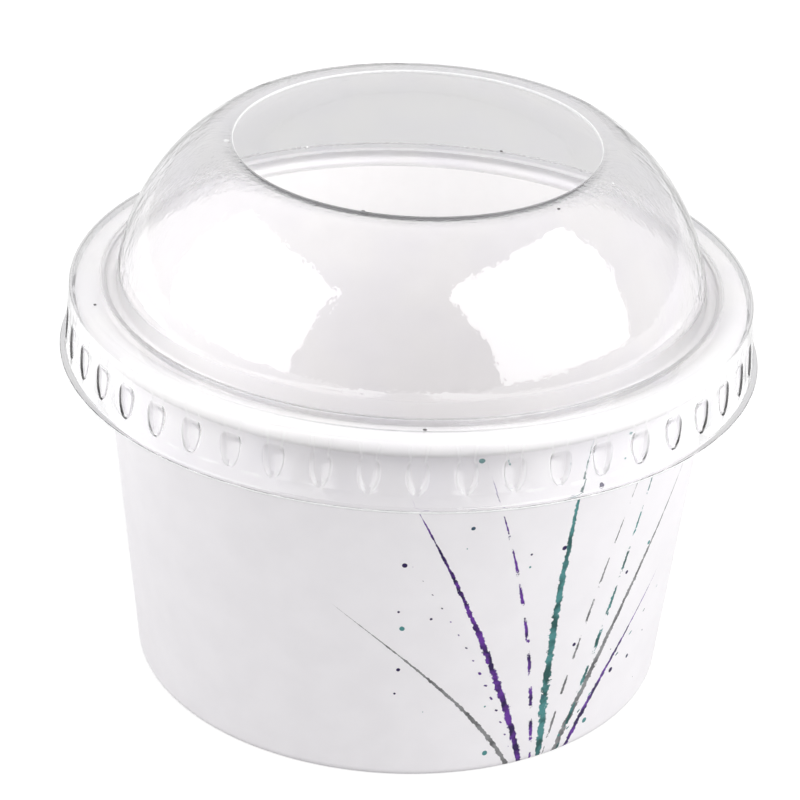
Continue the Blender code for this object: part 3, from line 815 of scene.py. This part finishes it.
# Table, lamps and surroundings
# A white table under two large soft panels, one to the left and one to the right of the camera.
# The ceiling is pale, and the room round the table is dim.
TABLE_SIZE = 2.2
TABLE_DROP = 0.02 * MM  # the cup's foot stands this much clear of it
TABLE_COLOUR = (0.31, 0.31, 0.31, 1.0)
TABLE_ROUGHNESS = 0.9
TABLE_GLOW = 0.75  # near the cup, where the lamps make up the rest of the white
GLOW_RISES = (0.3, 0.8)  # out from the cup's axis, over which the glow alone becomes white
WHITE = (1.0, 1.0, 1.0, 1.0)
SEEN_THROUGH = 0.49  # share of the white glow that shows through clear sheet
MIRRORED_FRONT = 0.55  # and that gloss mirrors from the camera's side and from behind the cup
MIRRORED_BACK = 0.9
MIRRORED_TURN = (-0.4, 0.4)  # from front to back, along Y
PAINTED_GLEAM_ASIDE = 3.6  # painted gleam: close by on either side the table glows this strongly in gloss, a pool of light painted under the panels
PAINTED_GLEAM_FROM = (0.07, 0.13)  # to the side of the axis, over which the painted gleam comes on
PAINTED_GLEAM_UNTIL = (0.36, 0.26)  # and over which it is gone again
PAINTED_GLEAM_BEHIND = (0.14, 0.04)  # and behind the axis
PANEL_DISTANCE = 1.5
PANEL_SIZE = 1.75
# Turned from the camera's side and height above the table, in degrees, and radiance
PANELS = (("panel_left", -72, 20, 2.45), ("panel_right", 62, 28, 2.8))
SKY_HIGH = 0.80
SKY_LOW = 0.17
SKY_RISES = (0.3, 0.9)  # from low to high, along Z


def add_seen(tree, mirrored):
    """1 for rays from the camera, less off gloss and through clear sheet, and 0 for light that scatters."""
    ray = tree.nodes.new("ShaderNodeLightPath")
    through = ray.outputs["Is Transmission Ray"]
    bounced = add_math(tree, "SUBTRACT", ray.outputs["Is Glossy Ray"], through)
    shown = add_math(tree, "MULTIPLY", through, SEEN_THROUGH)
    shown = add_math(tree, "MAXIMUM", shown, add_math(tree, "MULTIPLY", bounced, mirrored))
    return add_math(tree, "MAXIMUM", ray.outputs["Is Camera Ray"], shown)


half = TABLE_SIZE / 2
corners = [(-half, -half, 0), (half, -half, 0), (half, half, 0), (-half, half, 0)]
table_mesh = bpy.data.meshes.new("table")
table_mesh.from_pydata(corners, [], [(0, 1, 2, 3)])
table = bpy.data.objects.new("table", table_mesh)
bpy.context.scene.collection.objects.link(table)
table.location.z = -TABLE_DROP
table_material, tree, shader, output = new_material("White table")
shader.inputs["Base Color"].default_value = TABLE_COLOUR
shader.inputs["Roughness"].default_value = TABLE_ROUGHNESS
shader.inputs["Specular IOR Level"].default_value = 0.0
shader.inputs["Emission Color"].default_value = WHITE
x, y, z, distance = add_place(tree)
# Painted gleam: to the sides of the cup the table's glow, as seen in gloss, is raised well above white, a
# pool of light that no lamp casts.
aside = add_math(tree, "ABSOLUTE", x)
painted_gleam = add_math(tree, "MULTIPLY", add_spread(tree, aside, *PAINTED_GLEAM_FROM), add_spread(tree, y, *PAINTED_GLEAM_BEHIND))
painted_gleam = add_math(tree, "MULTIPLY", painted_gleam, add_spread(tree, aside, *PAINTED_GLEAM_UNTIL))
mirrored = add_math(tree, "MULTIPLY_ADD", painted_gleam, PAINTED_GLEAM_ASIDE - MIRRORED_BACK, MIRRORED_BACK)
glow = add_spread(tree, distance, *GLOW_RISES, TABLE_GLOW, 1.0)
glow = add_math(tree, "MULTIPLY", add_seen(tree, mirrored), glow)
tree.links.new(glow, shader.inputs["Emission Strength"])
table.data.materials.append(table_material)

world = bpy.data.worlds.new("Studio")
bpy.context.scene.world = world
world.use_nodes = True
tree = world.node_tree
sky = tree.nodes["Background"]
sky.inputs["Color"].default_value = WHITE
sky_parts = tree.nodes.new("ShaderNodeSeparateXYZ")
direction = tree.nodes.new("ShaderNodeTexCoord").outputs["Generated"]
tree.links.new(direction, sky_parts.inputs["Vector"])
level = add_spread(tree, sky_parts.outputs["Z"], *SKY_RISES, SKY_LOW, SKY_HIGH)
mirrored = add_spread(tree, sky_parts.outputs["Y"], *MIRRORED_TURN, MIRRORED_FRONT, MIRRORED_BACK)
level = add_math(tree, "MAXIMUM", level, add_seen(tree, mirrored))
tree.links.new(level, sky.inputs["Strength"])

for name, turned, raised, radiance in PANELS:
    lamp = bpy.data.lights.new(name, "AREA")
    lamp.shape = "SQUARE"
    lamp.size = PANEL_SIZE
    lamp.energy = radiance * math.pi * PANEL_SIZE**2
    panel = bpy.data.objects.new(name, lamp)
    bpy.context.scene.collection.objects.link(panel)
    a, e = math.radians(turned), math.radians(raised)
    towards = Vector((math.sin(a) * math.cos(e), -math.cos(a) * math.cos(e), math.sin(e)))
    panel.location = towards * PANEL_DISTANCE + Vector((0, 0, flange_level))
    panel.rotation_mode = "QUATERNION"
    panel.rotation_quaternion = (-towards).to_track_quat("-Z", "Y")
    panel.visible_camera = False


# Camera
# It looks down on the front of the cup from above the lid, as in the photograph, and is rolled a little.
# The focal length is counted in pixels of the photograph's width.
CAMERA_RAISED = math.radians(27.0)
CAMERA_DISTANCE = 0.446
CAMERA_AIM = Vector((0.0, 0.0, 0.045))
CAMERA_ROLL = math.radians(2.5)
CAMERA_PAN = math.radians(-0.12)
CAMERA_TILT = math.radians(-0.74)
CAMERA_CLIP = (0.01, 50.0)
FOCAL_PIXELS = 3133
IMAGE_PIXELS = 800
SENSOR_MM = 36.0

lens = bpy.data.cameras.new("camera")
lens.sensor_width = SENSOR_MM
lens.lens = FOCAL_PIXELS / IMAGE_PIXELS * SENSOR_MM
lens.clip_start, lens.clip_end = CAMERA_CLIP
camera = bpy.data.objects.new("camera", lens)
bpy.context.scene.collection.objects.link(camera)
back = Vector((0.0, -math.cos(CAMERA_RAISED), math.sin(CAMERA_RAISED)))
camera.location = CAMERA_AIM + back * CAMERA_DISTANCE
aim = (-back).to_track_quat("-Z", "Y").to_matrix()
aim = aim @ Matrix.Rotation(CAMERA_TILT, 3, "X")
aim = aim @ Matrix.Rotation(-CAMERA_PAN, 3, "Y")
aim = aim @ Matrix.Rotation(CAMERA_ROLL, 3, "Z")
camera.rotation_mode = "QUATERNION"
camera.rotation_quaternion = aim.to_quaternion()
bpy.context.scene.camera = camera
bpy.context.scene.view_settings.view_transform = "Standard"
